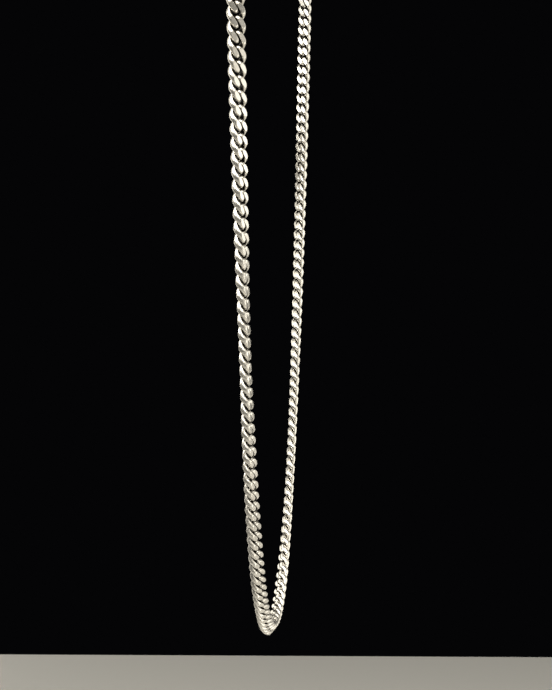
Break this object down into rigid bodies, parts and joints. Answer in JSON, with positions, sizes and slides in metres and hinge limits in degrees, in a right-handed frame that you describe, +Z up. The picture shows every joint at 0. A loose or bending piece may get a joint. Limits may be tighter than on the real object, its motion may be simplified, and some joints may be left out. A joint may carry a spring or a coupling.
{
  "type": "cuban link chain necklace",
  "caption": "Silver curb chain necklace of flattened twisted links, hanging as a closed loop with a plain box clasp at the top.",
  "frame": {"origin": "inner side of the loop's top, in the middle of its width and depth, where a neck or a peg carries it", "axes": "+Z up, X across the loop from one strand to the other, Y through the loop; the front of the necklace faces -Y"},
  "size_m": [0.1336, 0.0036, 0.2224],
  "materials": {
    "silver": "polished silver, warm white, with soft wear"
  },
  "bodies": {
    "root": {"chain_front": "silver", "chain_back": "silver", "clasp": "silver"}
  },
  "joints": []
}
